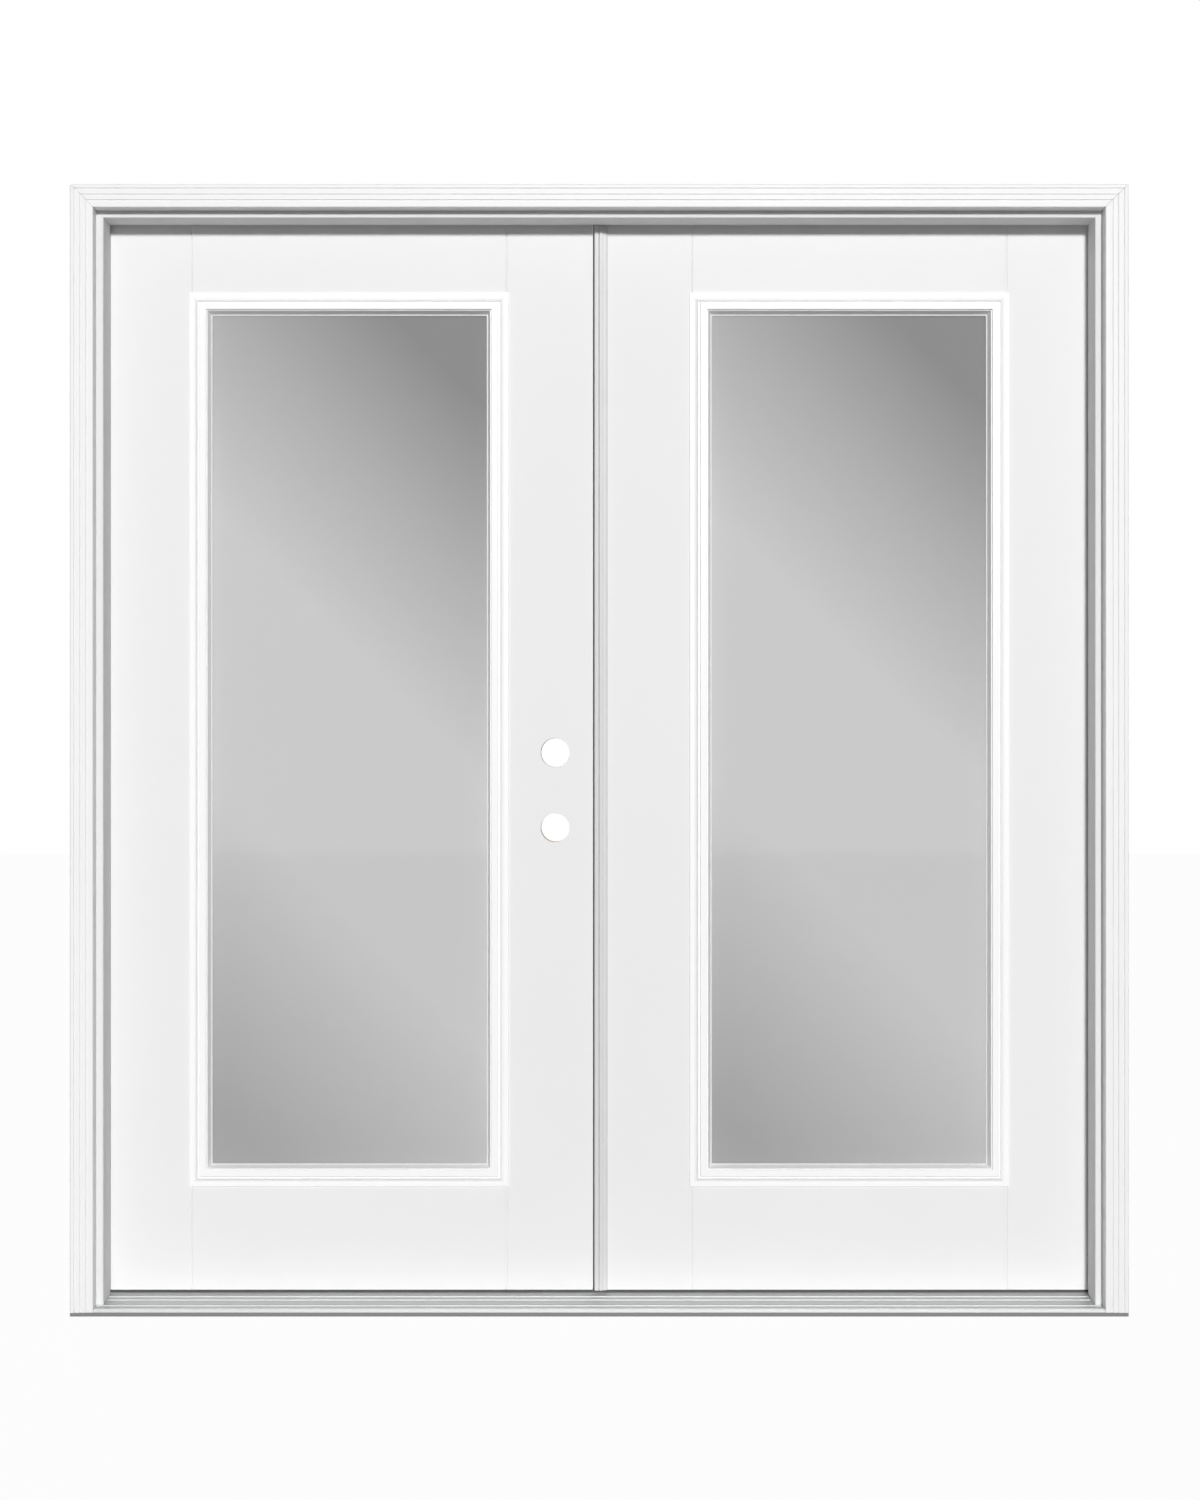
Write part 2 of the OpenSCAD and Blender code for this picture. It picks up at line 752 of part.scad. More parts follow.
module lite_frame_interior(side) {
    color("white") on_side(side) difference() {
        translate([leaf_mid_x, leaf_y1, lite_mid_z]) mirror([0, 1, 0]) lite_ring();
        lite_plug_rods(plug_d + 2 * screw_slack, leaf_y1 + lite_proud - plug_h, leaf_y1 + lite_proud + over);
    }
}

// Caps over the screws that draw the two lite frames together
module lite_plugs(side) {
    color("white") on_side(side)
        lite_plug_rods(plug_d, leaf_y1 + lite_proud - plug_h, leaf_y1 + lite_proud - 0.3);
}

module pane(side, y0) {
    color("lightgray") on_side(side)
        box([leaf_mid_x - glass_w / 2, y0, lite_mid_z - glass_h / 2],
            [leaf_mid_x + glass_w / 2, y0 + pane_t, lite_mid_z + glass_h / 2]);
}

// The bar that holds the panes apart
module spacer(side) {
    inset = 3;
    bar = 7;
    y0 = glass_y0 + pane_t;
    color("silver") on_side(side) translate([leaf_mid_x, 0, lite_mid_z]) difference() {
        box([-glass_w / 2 + inset, y0, -glass_h / 2 + inset],
            [glass_w / 2 - inset, y0 + pane_gap, glass_h / 2 - inset]);
        box([-glass_w / 2 + inset + bar, y0 - over, -glass_h / 2 + inset + bar],
            [glass_w / 2 - inset - bar, y0 + pane_gap + over, glass_h / 2 - inset - bar]);
    }
}

// A vinyl sweep under the leaf, with fins that brush the cap
module sweep(side) {
    fin_t = 1.6;
    plate_t = 1.6;
    fin_z0 = cap_top_z + fit_gap;
    color("dimgray") on_side(side) {
        box([leaf_x0 + 1, core_y0, leaf_z0 - plate_t], [leaf_x1 - 1, core_y1, leaf_z0]);
        for (y = [core_y0 + 3, leaf_mid_y - 12, leaf_mid_y + 12, core_y1 - 3 - fin_t])
            box([leaf_x0 + 1, y, fin_z0], [leaf_x1 - 1, y + fin_t, leaf_z0 - plate_t]);
    }
}

// Astragal: the strip on the passive leaf that the active one closes against

// Slot through which the thumb piece of a flush bolt shows
module thumb_slot(z_mid, travel_up, travel_down) {
    box([web_x0 - over, bolt_y - thumb_w / 2 - fit_gap, z_mid - thumb_h / 2 - travel_down - 1],
        [bolt_x, bolt_y + thumb_w / 2 + fit_gap, z_mid + thumb_h / 2 + travel_up + 1]);
}

bolt_top_z1 = leaf_z1 - bolt_inset;
bolt_bottom_z0 = leaf_z0 + bolt_inset;
thumb_top_z = bolt_top_z1 - thumb_from_end;
thumb_bottom_z = bolt_bottom_z0 + thumb_from_end;

module astragal() {
    y0 = flange_y0;
    right = web_x1 + astragal_lap;
    strip_top = stop_z - 1.5;
    color("whitesmoke") difference() {
        union() {
            along_z(leaf_z0, leaf_z1 - fit_gap)
                polygon([[web_x0, leaf_y0], [web_x1, leaf_y0], [web_x1, web_y1],
                    [web_x0 + 2, web_y1], [web_x0, web_y1 - 2]]);
            along_z(leaf_z0, strip_top)
                polygon([
                    [web_x0, leaf_y0], [web_x0, y0 + 1.5], [web_x0 + 1.5, y0], [bolt_x - 3, y0],
                    [bolt_x - 1.8, y0 + 2.4], [bolt_x - 0.6, y0], [bolt_x + 5, y0], [bolt_x + 5.6, y0 + 3],
                    [right - 3.2, y0 + 3], [right - 2.6, y0 + 5.2], [right - 1, y0 + 5.2],
                    [right, y0 + 6.2], [right, leaf_y0],
                ]);
        }
        rod_z(bolt_top_z1 - bolt_l - bolt_throw, leaf_z1 + over, bolt_bore_d, bolt_x, bolt_y);
        rod_z(leaf_z0 - over, bolt_bottom_z0 + bolt_l + bolt_throw, bolt_bore_d, bolt_x, bolt_y);
        thumb_slot(thumb_top_z, bolt_throw, 0);
        thumb_slot(thumb_bottom_z, 0, bolt_throw);
        for (z = BORE_HEIGHTS) rod_x(web_x0 - over, web_x0 + 15, latch_d, leaf_mid_y, z);
        seal_groove();
    }
}

seal_y = leaf_y0 + 8;
seal_d = 5;

module seal_groove() {
    along_z(leaf_z0 - over, leaf_z1 + over) translate([web_x0, seal_y])
        square([2 * 2.5, 2.4], center = true);
}

// A soft bead along the astragal that the edge of the active leaf closes on
module astragal_seal() {
    bead = astragal_gap - 0.4;
    color("dimgray") along_z(leaf_z0, leaf_z1 - fit_gap) translate([web_x0, seal_y]) {
        translate([0, -0.9]) square([2.3, 1.8]);
        intersection() {
            circle(d = seal_d, $fn = 24);
            translate([-bead, -seal_d]) square([bead, 2 * seal_d]);
        }
    }
}

// A flush bolt: a rod with a thumb piece that slides in the astragal's slot
module flush_bolt(z0, thumb_z) {
    color("silver") union() {
        rod_z(z0, z0 + bolt_l, bolt_d, bolt_x, bolt_y);
        box([web_x0 + 0.4, bolt_y - thumb_w / 2, thumb_z - thumb_h / 2],
            [bolt_x, bolt_y + thumb_w / 2, thumb_z + thumb_h / 2]);
    }
}

module flush_bolt_top() {
    flush_bolt(bolt_top_z1 - bolt_l, thumb_top_z);
}

module flush_bolt_bottom() {
    flush_bolt(bolt_bottom_z0, thumb_bottom_z);
}

jamb_leg(LEFT);  // jamb_left
jamb_leg(RIGHT);  // jamb_right
jamb_head();
brickmould_leg(LEFT);  // brickmould_left
brickmould_leg(RIGHT);  // brickmould_right
brickmould_head();
weatherstrip_leg(LEFT);  // weatherstrip_left
weatherstrip_leg(RIGHT);  // weatherstrip_right
weatherstrip_head();
corner_pads();
sill_base();
sill_deck();
threshold_cap();
cap_screws();
head_strike();
frame_hinge_leaves(LEFT);  // frame_hinge_leaves_left
frame_hinge_leaves(RIGHT);  // frame_hinge_leaves_right
hinge_pins(LEFT);  // hinge_pins_left
hinge_pins(RIGHT);  // hinge_pins_right
frame_hinge_screws();
skin(LEFT, leaf_y0, core_y0, leaf_y0);  // skin_exterior_active
skin(LEFT, core_y1, leaf_y1, leaf_y1);  // skin_interior_active
hinge_stile(LEFT);  // hinge_stile_active
lock_stile(LEFT);  // lock_stile_active
lock_block(LEFT);  // lock_block_active
top_rail(LEFT);  // top_rail_active
bottom_rail(LEFT);  // bottom_rail_active
core(LEFT);  // core_active
lite_frame_exterior(LEFT);  // lite_frame_exterior_active
lite_frame_interior(LEFT);  // lite_frame_interior_active
pane(LEFT, glass_y0);  // pane_exterior_active
pane(LEFT, glass_y1 - pane_t);  // pane_interior_active
spacer(LEFT);  // spacer_active
lite_plugs(LEFT);  // lite_plugs_active
sweep(LEFT);  // sweep_active
hinge_leaves(LEFT);  // hinge_leaves_active
hinge_screws(LEFT);  // hinge_screws_active
skin(RIGHT, leaf_y0, core_y0, leaf_y0);  // skin_exterior_passive
skin(RIGHT, core_y1, leaf_y1, leaf_y1);  // skin_interior_passive
hinge_stile(RIGHT);  // hinge_stile_passive
lock_stile(RIGHT);  // lock_stile_passive
top_rail(RIGHT);  // top_rail_passive
bottom_rail(RIGHT);  // bottom_rail_passive
core(RIGHT);  // core_passive
lite_frame_exterior(RIGHT);  // lite_frame_exterior_passive
lite_frame_interior(RIGHT);  // lite_frame_interior_passive
pane(RIGHT, glass_y0);  // pane_exterior_passive
pane(RIGHT, glass_y1 - pane_t);  // pane_interior_passive
spacer(RIGHT);  // spacer_passive
lite_plugs(RIGHT);  // lite_plugs_passive
sweep(RIGHT);  // sweep_passive
hinge_leaves(RIGHT);  // hinge_leaves_passive
hinge_screws(RIGHT);  // hinge_screws_passive
astragal();
astragal_seal();
flush_bolt_top();
flush_bolt_bottom();
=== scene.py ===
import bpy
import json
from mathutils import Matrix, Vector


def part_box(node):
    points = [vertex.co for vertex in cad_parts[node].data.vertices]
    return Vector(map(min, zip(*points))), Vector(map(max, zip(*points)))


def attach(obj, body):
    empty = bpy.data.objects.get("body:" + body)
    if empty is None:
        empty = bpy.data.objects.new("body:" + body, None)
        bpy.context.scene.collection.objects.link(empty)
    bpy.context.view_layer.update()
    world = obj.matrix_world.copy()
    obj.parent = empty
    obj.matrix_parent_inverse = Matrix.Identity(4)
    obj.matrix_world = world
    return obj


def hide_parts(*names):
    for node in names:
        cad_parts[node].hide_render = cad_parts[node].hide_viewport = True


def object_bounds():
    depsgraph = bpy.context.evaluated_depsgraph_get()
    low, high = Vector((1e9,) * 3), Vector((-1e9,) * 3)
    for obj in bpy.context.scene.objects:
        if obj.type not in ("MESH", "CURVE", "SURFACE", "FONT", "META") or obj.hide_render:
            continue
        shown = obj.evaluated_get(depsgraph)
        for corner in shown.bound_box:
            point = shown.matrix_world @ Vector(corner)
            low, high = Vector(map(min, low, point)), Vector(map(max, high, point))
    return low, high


bl_info = {
    "name": "French Doors",
    "version": (1, 0, 0),
    "blender": (4, 5, 0),
    "location": "View3D > Sidebar > French Doors",
    "description": "Finishes a pair of glazed french doors in their frame and sets up the studio view",
    "category": "Object",
}

import json
import math

import bpy
from mathutils import Vector

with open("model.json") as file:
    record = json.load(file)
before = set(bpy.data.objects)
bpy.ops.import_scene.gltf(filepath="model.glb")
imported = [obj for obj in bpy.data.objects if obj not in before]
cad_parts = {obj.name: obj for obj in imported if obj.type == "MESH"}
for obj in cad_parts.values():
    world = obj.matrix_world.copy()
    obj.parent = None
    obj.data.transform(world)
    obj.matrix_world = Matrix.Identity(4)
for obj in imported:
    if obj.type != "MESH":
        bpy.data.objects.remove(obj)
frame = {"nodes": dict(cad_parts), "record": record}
CAD_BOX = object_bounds()

LEAVES = ("active", "passive")
BODY_OF_LEAF = {"active": "active_leaf", "passive": "passive_leaf"}

# Limits for joining, rounding and shading copies of the CAD pieces
MERGE_DISTANCE = 0.00002
FLAT_ANGLE = math.radians(0.5)
ROUNDED_ANGLE = math.radians(28)
SMOOTH_ANGLE = math.radians(32)
MITRE_TOLERANCE = 0.05

# Where the two suns stand, where they point and how wide they look in degrees
KEY_SUN = ((1.5, -4.0, 3.5), (-0.07, 0.93, -0.235), 6)
INDOOR_SUN = ((-1.5, 4.0, 3.5), (0.35, -0.86, -0.4), 20)

# Share of plain white in what is seen of the floor; the rest shows its shadows
FLOOR_WHITE_SHARE = 0.97

# Width of the lite frames, the tape's slack inside their opening and its edge rounding
LITE_WIDTH = 0.039
TAPE_SLACK = 0.0002
TAPE_ROUNDING = 0.0004


def linear(hex_colour):
    """The linear RGBA of an sRGB hex colour."""
    channels = [int(hex_colour[i:i + 2], 16) / 255 for i in (1, 3, 5)]
    return tuple(c / 12.92 if c <= 0.04045 else ((c + 0.055) / 1.055) ** 2.4 for c in channels) + (1.0,)


def colour_property(name, description, hex_colour):
    return bpy.props.FloatVectorProperty(
        name=name, description=description, subtype="COLOR", size=4, min=0.0, max=1.0,
        default=linear(hex_colour),
    )


class FrenchDoorFinish(bpy.types.PropertyGroup):
    """Colours and small sizes of the doors' finish."""

    frame_white: colour_property("Frame white", "Paint on the brickmould", "#f3f3f3")
    jamb_white: colour_property("Jamb white", "Primer on the jambs", "#e4e4e4")
    leaf_white: colour_property("Leaf white", "Primer on the leaves' skins", "#eaeaea")
    lite_white: colour_property("Lite white", "Colour of the moulded lite frames", "#f8f8f8")
    # The astragal's pale grey is partly its powder coat and partly painted shade on the strip
    astragal_grey_and_shade: colour_property("Astragal grey", "Powder coat on the astragal", "#d6d6d6")
    sill_metal: colour_property("Sill metal", "Mill finish of the deck", "#c6c7c7")
    sill_composite: colour_property("Sill base", "Composite under the deck and casing", "#818182")
    wood: colour_property("Edge wood", "Bare wood in the edges of the leaves", "#cfae80")
    hinge_metal: colour_property("Hinge metal", "Satin steel of the hinges", "#a5a6a8")
    paint_edge: bpy.props.FloatProperty(
        name="Painted edge", description="Width of the softened edges on painted pieces",
        default=0.0004, min=0.0002, max=0.003, precision=4, unit="LENGTH",
    )
    mitre_edge: bpy.props.FloatProperty(
        name="Mitre edge", description="Width of the eased rims where the casing's mitres meet",
        default=0.0014, min=0.0002, max=0.003, precision=4, unit="LENGTH",
    )
    moulded_edge: bpy.props.FloatProperty(
        name="Moulded edge", description="Width of the softened edges on moulded and extruded pieces",
        default=0.0003, min=0.0002, max=0.002, precision=4, unit="LENGTH",
    )
    tape_width: bpy.props.FloatProperty(
        name="Glazing tape", description="Width of the tape that shows inside the lite frame",
        default=0.0025, min=0.001, max=0.006, precision=4, unit="LENGTH",
    )
    tape_height: bpy.props.FloatProperty(
        name="Glazing tape height", description="How far the tape stands off the pane",
        default=0.0014, min=0.0005, max=0.003, precision=4, unit="LENGTH",
    )


class FrenchDoorStage(bpy.types.PropertyGroup):
    """The studio around the doors."""

    camera_distance: bpy.props.FloatProperty(
        name="Camera distance", description="From the casing's face to the camera",
        default=4.5, min=1.0, max=20.0, unit="LENGTH",
    )
    camera_height: bpy.props.FloatProperty(
        name="Camera height", description="Height of the camera above the floor",
        default=1.0306, min=0.2, max=3.0, unit="LENGTH",
    )
    lens: bpy.props.FloatProperty(
        name="Lens", description="Focal length of the camera", default=59.4, min=20.0, max=200.0,
        subtype="DISTANCE_CAMERA",
    )
    key_strength: bpy.props.FloatProperty(
        name="Key light", description="Strength of the light from the upper right",
        default=2.75, min=0.0, max=10.0,
    )
    indoor_strength: bpy.props.FloatProperty(
        name="Indoor light", description="Strength of the light on the inner side",
        default=2.0, min=0.0, max=10.0,
    )
    room_strength: bpy.props.FloatProperty(
        name="Room light", description="Strength of the even light from all round",
        default=0.06, min=0.0, max=2.0,
    )


def finish():
    return bpy.context.scene.french_door_finish


def add_node(tree, kind, settings=None, inputs=None):
    """Adds a node, sets its attributes, and sets or links its inputs."""
    node = tree.nodes.new(kind)
    for attribute, value in (settings or {}).items():
        setattr(node, attribute, value)
    for socket, value in (inputs or {}).items():
        if isinstance(value, bpy.types.NodeSocket):
            tree.links.new(value, node.inputs[socket])
        else:
            node.inputs[socket].default_value = value
    return node


def blank_material(name):
    material = bpy.data.materials.new(name)
    material.use_nodes = True
    material.node_tree.nodes.clear()
    return material, material.node_tree


def shade(colour, factor):
    return tuple(c * factor for c in colour[:3]) + (1.0,)


def painted(name, colour, roughness, patch, peel, peel_height):
    """Satin paint or primer: broad, faint unevenness in tone and the orange peel of a sprayed coat.
    The peel of a real coat is about 1 mm; it is drawn coarser so that it shows."""
    material, tree = blank_material(name)
    place = add_node(tree, "ShaderNodeTexCoord").outputs["Object"]
    cloud = add_node(tree, "ShaderNodeTexNoise", inputs={"Vector": place, "Scale": 1 / patch, "Detail": 3.0})
    tone = add_node(tree, "ShaderNodeMix", {"data_type": "RGBA"},
                    {0: cloud.outputs["Fac"], 6: shade(colour, 0.975), 7: shade(colour, 1.0)})
    gloss = add_node(tree, "ShaderNodeMapRange", inputs={
        "Value": cloud.outputs["Fac"], "To Min": roughness - 0.05, "To Max": roughness + 0.05})
    grain = add_node(tree, "ShaderNodeTexNoise", inputs={"Vector": place, "Scale": 1 / peel, "Detail": 2.0})
    relief = add_node(tree, "ShaderNodeBump", inputs={
        "Strength": 0.25, "Distance": peel_height, "Height": grain.outputs["Fac"]})
    surface = add_node(tree, "ShaderNodeBsdfPrincipled", inputs={
        "Base Color": tone.outputs[2], "Roughness": gloss.outputs["Result"], "Specular IOR Level": 0.2,
        "Normal": relief.outputs["Normal"]})
    add_node(tree, "ShaderNodeOutputMaterial", inputs={"Surface": surface.outputs["BSDF"]})
    return material


def drawn_metal(name, colour, roughness, along, line):
    """Metal with fine lines along one axis, as an extrusion die or a brushing belt leaves them."""
    material, tree = blank_material(name)
    place = add_node(tree, "ShaderNodeTexCoord").outputs["Object"]
    stretch = [1 / line] * 3
    stretch["XYZ".index(along)] = 4.0
    lines = add_node(tree, "ShaderNodeMapping", inputs={"Vector": place, "Scale": stretch})
    streak = add_node(tree, "ShaderNodeTexNoise", inputs={
        "Vector": lines.outputs["Vector"], "Scale": 1.0, "Detail": 4.0})
    tone = add_node(tree, "ShaderNodeMix", {"data_type": "RGBA"},
                    {0: streak.outputs["Fac"], 6: shade(colour, 0.86), 7: shade(colour, 1.04)})
    gloss = add_node(tree, "ShaderNodeMapRange", inputs={
        "Value": streak.outputs["Fac"], "To Min": roughness - 0.08, "To Max": roughness + 0.1})
    relief = add_node(tree, "ShaderNodeBump", inputs={
        "Strength": 0.15, "Distance": 0.0001, "Height": streak.outputs["Fac"]})
    surface = add_node(tree, "ShaderNodeBsdfPrincipled", inputs={
        "Base Color": tone.outputs[2], "Metallic": 1.0, "Roughness": gloss.outputs["Result"],
        "Normal": relief.outputs["Normal"]})
    add_node(tree, "ShaderNodeOutputMaterial", inputs={"Surface": surface.outputs["BSDF"]})
    return material


def moulded(name, colour, roughness, grit, contrast):
    """Moulded or foamed material: an even body colour broken by a grit of the given size."""
    material, tree = blank_material(name)
    place = add_node(tree, "ShaderNodeTexCoord").outputs["Object"]
    speck = add_node(tree, "ShaderNodeTexNoise", inputs={"Vector": place, "Scale": 1 / grit, "Detail": 4.0})
    dark, pale = shade(colour, 1 - contrast), shade(colour, 1 + contrast / 2)
    tone = add_node(tree, "ShaderNodeMix", {"data_type": "RGBA"}, {0: speck.outputs["Fac"], 6: dark, 7: pale})
    relief = add_node(tree, "ShaderNodeBump", inputs={
        "Strength": 0.3, "Distance": 0.0002, "Height": speck.outputs["Fac"]})
    surface = add_node(tree, "ShaderNodeBsdfPrincipled", inputs={
        "Base Color": tone.outputs[2], "Roughness": roughness, "Normal": relief.outputs["Normal"]})
    add_node(tree, "ShaderNodeOutputMaterial", inputs={"Surface": surface.outputs["BSDF"]})
    return material


def laminated_pine(name, colour):
    """Bare laminated pine: glue lines a few millimetres apart across the leaf, streaked along the grain."""
    material, tree = blank_material(name)
    place = add_node(tree, "ShaderNodeTexCoord").outputs["Object"]
    ply = add_node(tree, "ShaderNodeTexWave", {"bands_direction": "Y"}, {
        "Vector": place, "Scale": 30.0, "Distortion": 0.6, "Detail": 2.0})
    along = add_node(tree, "ShaderNodeMapping", inputs={"Vector": place, "Scale": (250.0, 250.0, 6.0)})
    fibre = add_node(tree, "ShaderNodeTexNoise", inputs={
        "Vector": along.outputs["Vector"], "Scale": 1.0, "Detail": 5.0})
    grain = add_node(tree, "ShaderNodeMath", {"operation": "MULTIPLY"}, {
        0: ply.outputs["Fac"], 1: fibre.outputs["Fac"]})
    tone = add_node(tree, "ShaderNodeMix", {"data_type": "RGBA"},
                    {0: grain.outputs["Value"], 6: shade(colour, 1.05), 7: shade(colour, 0.62)})
    relief = add_node(tree, "ShaderNodeBump", inputs={
        "Strength": 0.3, "Distance": 0.0002, "Height": fibre.outputs["Fac"]})
    surface = add_node(tree, "ShaderNodeBsdfPrincipled", inputs={
        "Base Color": tone.outputs[2], "Roughness": 0.65, "Normal": relief.outputs["Normal"]})
    add_node(tree, "ShaderNodeOutputMaterial", inputs={"Surface": surface.outputs["BSDF"]})
    return material


def grey_glass_with_painted_reflection(name, middle):
    """Float glass with a grey cast and a painted reflection: a pale band of painted reflection runs down to
    the right between darker corners.
    """
    material, tree = blank_material(name)
    place = add_node(tree, "ShaderNodeTexCoord").outputs["Object"]
    slant = add_node(tree, "ShaderNodeVectorMath", {"operation": "DOT_PRODUCT"}, {
        0: place, 1: (1.0, 0.0, 1.0)})
    middle_slant = middle.x + middle.z
    band = add_node(tree, "ShaderNodeMapRange", inputs={
        "Value": slant.outputs["Value"], "From Min": middle_slant - 1.05, "From Max": middle_slant + 0.95})
    grey_and_painted_reflection = add_node(tree, "ShaderNodeValToRGB", inputs={"Fac": band.outputs["Result"]})
    # Greys of the painted reflection: pale in the band, darker towards the corners
    stops = ((0.06, "#ababab"), (0.36, "#d2d2d2"), (0.61, "#d2d2d2"), (0.80, "#b3b3b3"), (0.96, "#8b8b8b"))
    ramp = grey_and_painted_reflection.color_ramp.elements
    while len(ramp) < len(stops):
        ramp.new(0.5)
    for element, (position, hex_colour) in zip(ramp, stops):
        element.position = position
        element.color = linear(hex_colour)
    surface = add_node(tree, "ShaderNodeBsdfPrincipled", inputs={
        "Base Color": grey_and_painted_reflection.outputs["Color"], "Roughness": 0.025, "IOR": 1.52, "Alpha": 0.82})
    add_node(tree, "ShaderNodeOutputMaterial", inputs={"Surface": surface.outputs["BSDF"]})
    return material


def clear_glass(name):
    """Clear float glass, thin enough to hold only a faint grey cast."""
    material, tree = blank_material(name)
    place = add_node(tree, "ShaderNodeTexCoord").outputs["Object"]
    haze = add_node(tree, "ShaderNodeTexNoise", inputs={"Vector": place, "Scale": 4.0, "Detail": 2.0})
    gloss = add_node(tree, "ShaderNodeMapRange", inputs={
        "Value": haze.outputs["Fac"], "To Min": 0.015, "To Max": 0.035})
    surface = add_node(tree, "ShaderNodeBsdfPrincipled", inputs={
        "Base Color": linear("#d2d2d2"), "Roughness": gloss.outputs["Result"], "IOR": 1.52, "Alpha": 0.14})
    add_node(tree, "ShaderNodeOutputMaterial", inputs={"Surface": surface.outputs["BSDF"]})
    return material


def material_once(name, make, *values):
    """The material of that name, made on first use."""
    return bpy.data.materials.get(name) or make(name, *values)


def give_material(node, material):
    piece = frame["nodes"][node]
    if not piece.material_slots:
        piece.data.materials.append(material)
    for slot in piece.material_slots:
        slot.material = material


def body_of_node(node):
    for body, nodes in frame["record"]["behaviour"]["bodies"].items():
        if node in nodes:
            return body
    raise RuntimeError("no body holds the node " + node)


def only(piece):
    """Leaves one piece selected and active."""
    bpy.ops.object.select_all(action="DESELECT")
    piece.select_set(True)
    bpy.context.view_layer.objects.active = piece


def ease_mitres(piece, width):
    """Eases the rims of a piece's mitred ends, so that the joint with the next piece shows as a fine line."""
    bpy.ops.mesh.select_mode(type="FACE")
    bpy.ops.mesh.select_all(action="DESELECT")
    bpy.ops.object.mode_set(mode="OBJECT")
    for face in piece.data.polygons:
        across, through, up = (abs(value) for value in face.normal)
        face.select = through < MITRE_TOLERANCE and abs(across - up) < MITRE_TOLERANCE
    bpy.ops.object.mode_set(mode="EDIT")
    bpy.ops.mesh.region_to_loop()
    bpy.ops.mesh.bevel(offset=width, segments=1, affect="EDGES", clamp_overlap=True)


def softened(node, width, material, mitre_width=0.0):
    """A copy of a node with its loose triangles joined and its sharp edges rounded, in the node's place."""
    mesh = frame["nodes"][node].data.copy()
    piece = bpy.data.objects.new(node + "_softened", mesh)
    bpy.context.scene.collection.objects.link(piece)
    only(piece)
    bpy.ops.object.mode_set(mode="EDIT")
    bpy.ops.mesh.select_all(action="SELECT")
    bpy.ops.mesh.remove_doubles(threshold=MERGE_DISTANCE)
    bpy.ops.mesh.dissolve_limited(angle_limit=FLAT_ANGLE)
    if mitre_width:
        ease_mitres(piece, mitre_width)
    bpy.ops.object.mode_set(mode="OBJECT")
    rounding = piece.modifiers.new("rounding", "BEVEL")
    rounding.width = width
    rounding.segments = 2
    rounding.limit_method = "ANGLE"
    rounding.angle_limit = ROUNDED_ANGLE
    rounding.use_clamp_overlap = True
    bpy.ops.object.modifier_apply(modifier=rounding.name)
    bpy.ops.object.shade_smooth_by_angle(angle=SMOOTH_ANGLE)
    evening = piece.modifiers.new("evening", "WEIGHTED_NORMAL")
    evening.keep_sharp = True
    bpy.ops.object.modifier_apply(modifier=evening.name)
    mesh.materials.clear()
    mesh.materials.append(material)
    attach(piece, body_of_node(node))
    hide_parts(node)
    return piece


class FRENCHDOOR_OT_casing_and_jambs(bpy.types.Operator):
    """Paints the brickmould and the jambs and eases their edges"""

    bl_idname = "frenchdoor.casing_and_jambs"
    bl_label = "Casing and jambs"

    def execute(self, context):
        white = material_once(
            "satin_paint_on_cellular_pvc", painted, finish().frame_white, 0.42, 0.12, 0.004, 0.00012)
        primer = material_once(
            "matt_primer_on_jointed_pine", painted, finish().jamb_white, 0.8, 0.15, 0.005, 0.0001)
        for side in ("left", "right", "head"):
            softened("brickmould_" + side, finish().paint_edge, white, finish().mitre_edge)
            softened("jamb_" + side, finish().paint_edge, primer)
        return {"FINISHED"}


class FRENCHDOOR_OT_sill(bpy.types.Operator):
    """Finishes the sill: grooved deck, composite base and threshold cap"""

    bl_idname = "frenchdoor.sill"
    bl_label = "Sill"

    def execute(self, context):
        metal = material_once("extruded_mill_aluminium", drawn_metal, finish().sill_metal, 0.55, "X", 0.0015)
        base = material_once("moulded_dark_composite", moulded, finish().sill_composite, 0.6, 0.002, 0.12)
        cap = material_once("moulded_grey_composite", moulded, linear("#a9aaaa"), 0.5, 0.003, 0.08)
        softened("sill_deck", finish().moulded_edge, metal)
        softened("sill_base", finish().moulded_edge, base)
        softened("threshold_cap", finish().moulded_edge, cap)
        return {"FINISHED"}


class FRENCHDOOR_OT_leaf_skins(bpy.types.Operator):
    """Primes the skins of both leaves and eases their edges"""

    bl_idname = "frenchdoor.leaf_skins"
    bl_label = "Leaf skins"

    def execute(self, context):
        white = material_once(
            "satin_primer_on_fibreglass", painted, finish().leaf_white, 0.48, 0.2, 0.005, 0.0001)
        for leaf in LEAVES:
            for face in ("exterior", "interior"):
                softened("skin_{}_{}".format(face, leaf), finish().paint_edge, white)
        return {"FINISHED"}


class FRENCHDOOR_OT_lite_frames(bpy.types.Operator):
    """Finishes the moulded lite frames and their screw plugs"""

    bl_idname = "frenchdoor.lite_frames"
    bl_label = "Lite frames"

    def execute(self, context):
        white = material_once(
            "injection_moulded_white_polymer", painted, finish().lite_white, 0.36, 0.15, 0.003, 0.00008)
        for leaf in LEAVES:
            for face in ("exterior", "interior"):
                softened("lite_frame_{}_{}".format(face, leaf), finish().moulded_edge, white)
            give_material("lite_plugs_" + leaf, white)
        return {"FINISHED"}


